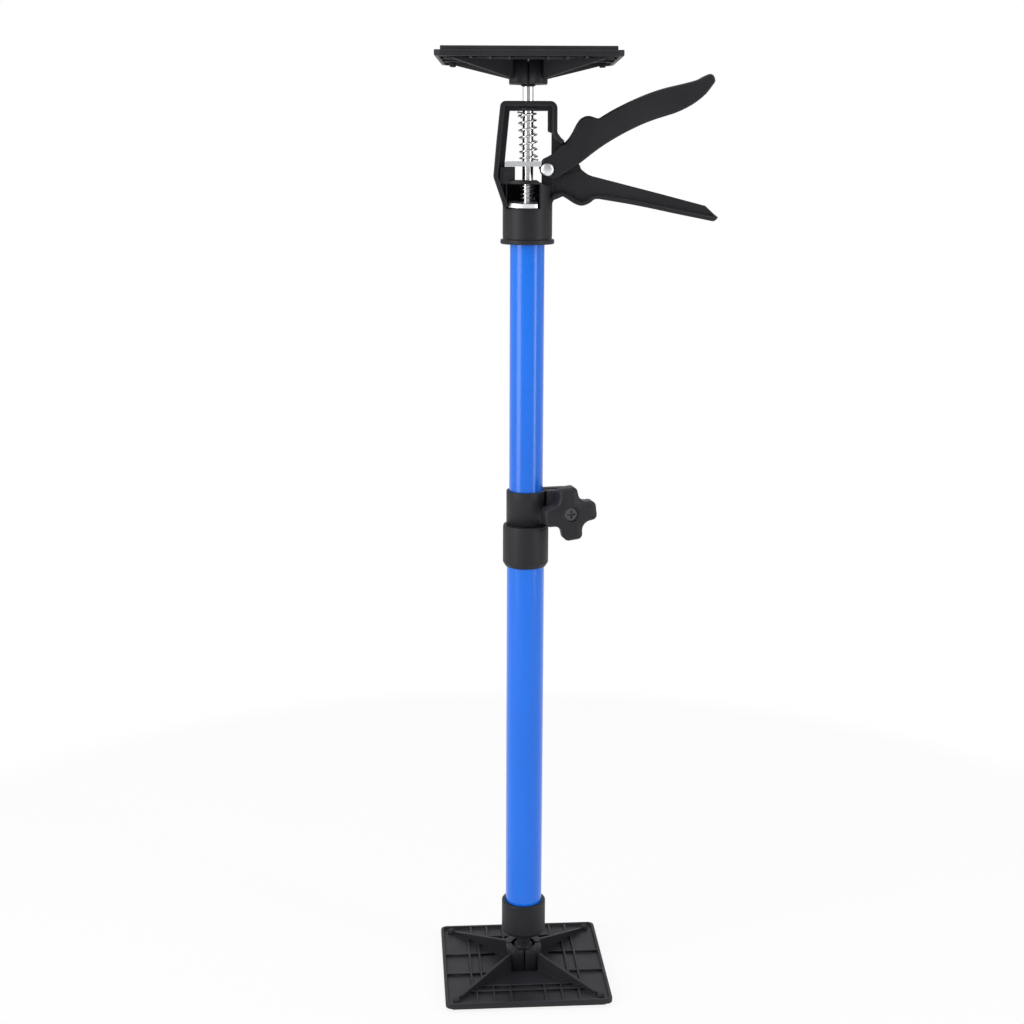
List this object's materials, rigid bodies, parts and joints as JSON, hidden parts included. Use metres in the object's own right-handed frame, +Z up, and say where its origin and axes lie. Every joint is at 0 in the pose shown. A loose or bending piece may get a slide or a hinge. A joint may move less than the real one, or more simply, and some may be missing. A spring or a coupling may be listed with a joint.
{
  "type": "telescopic drywall support pole",
  "caption": "Telescopic support pole with square ball-jointed pads, a screw clamp between the tubes and a squeeze grip that feeds a thin rod upwards.",
  "frame": {"origin": "centre of the foot mat's floor face", "axes": "+Z up the pole, +X towards the grip handle, -Y towards the clamp knob"},
  "size_m": [0.2032, 0.1352, 0.7038],
  "materials": {
    "black_plastic": "fine matt texture, near black",
    "black_rubber": "matt",
    "blue_paint": "glossy bright blue",
    "rod_steel": "bright plated",
    "spring_steel": "bright plated wire",
    "plated_steel": "zinc plated",
    "black_steel": "blackened, satin"
  },
  "bodies": {
    "foot_pad": {"base_mat": "black_rubber", "base_plate": "black_plastic"},
    "foot_ball": {"base_ball_stud": "black_plastic"},
    "lower_pole": {"base_socket": "black_plastic", "outer_tube": "blue_paint", "clamp_collar": "black_plastic", "clamp_nut": "plated_steel", "sleeve_screws": "plated_steel"},
    "knob": {"clamp_knob": "black_plastic", "clamp_bolt": "black_steel", "clamp_washer": "plated_steel"},
    "upper_pole": {"inner_tube": "blue_paint", "tube_guide_plug": "black_plastic", "housing": "black_plastic", "lever_pin": "plated_steel", "pin_washer": "plated_steel", "housing_screw": "plated_steel", "main_spring": "spring_steel", "lock_spring": "spring_steel"},
    "lever": {"trigger_lever": "black_plastic"},
    "drive": {"drive_plate": "plated_steel"},
    "lock": {"lock_plate": "plated_steel"},
    "rod": {"push_rod": "rod_steel", "rod_stop_bush": "black_plastic"},
    "head_ball": {"top_ball": "black_plastic"},
    "head_pad": {"top_plate": "black_plastic", "top_mat": "black_rubber"}
  },
  "joints": [
    {"name": "foot_tilt", "type": "hinge", "parent": "foot_pad", "child": "foot_ball", "pos_m": [0, 0, 0.0165], "axis": [1, 0, 0], "range_deg": [-20, 20]},
    {"name": "foot_spin", "type": "hinge", "parent": "foot_ball", "child": "lower_pole", "pos_m": [0, 0, 0.034], "axis": [0, 0, 1], "continuous": true},
    {"name": "clamp_turn", "type": "hinge", "parent": "lower_pole", "child": "knob", "pos_m": [0.02678, 0.00668, 0.375], "axis": [0.2419, -0.9703, 0], "range_deg": [0, 720]},
    {"name": "telescope", "type": "slide", "parent": "lower_pole", "child": "upper_pole", "axis": [0, 0, 1], "range_m": [-0.172, 0.075]},
    {"name": "lever_squeeze", "type": "hinge", "parent": "upper_pole", "child": "lever", "pos_m": [0.0137, 0, 0.6223], "axis": [0, 1, 0], "range_deg": [0, 30], "stiffness_Nm_per_rad": 0.5, "springref_deg": -20.05},
    {"name": "drive_tilt", "type": "hinge", "parent": "upper_pole", "child": "drive", "pos_m": [-0.0155, 0, 0.6244], "axis": [0, 1, 0], "range_deg": [-6, 0], "deforming": ["main_spring"]},
    {"name": "lock_release", "type": "hinge", "parent": "upper_pole", "child": "lock", "pos_m": [0, 0.0096, 0.5979], "axis": [-1, 0, 0], "range_deg": [0, 5], "stiffness_Nm_per_rad": 0.2, "springref_deg": -17.19, "deforming": ["lock_spring"]},
    {"name": "rod_lift", "type": "slide", "parent": "upper_pole", "child": "rod", "axis": [0, 0, 1], "range_m": [-0.006, 0.1]},
    {"name": "head_spin", "type": "hinge", "parent": "rod", "child": "head_ball", "pos_m": [0, 0, 0.6873], "axis": [0, 0, 1], "continuous": true},
    {"name": "head_tilt", "type": "hinge", "parent": "head_ball", "child": "head_pad", "pos_m": [0, 0, 0.6873], "axis": [1, 0, 0], "range_deg": [-12, 12]}
  ],
  "couplings": [
    {"joint": "drive_tilt", "follows": "lever_squeeze", "ratio": -0.2}
  ]
}
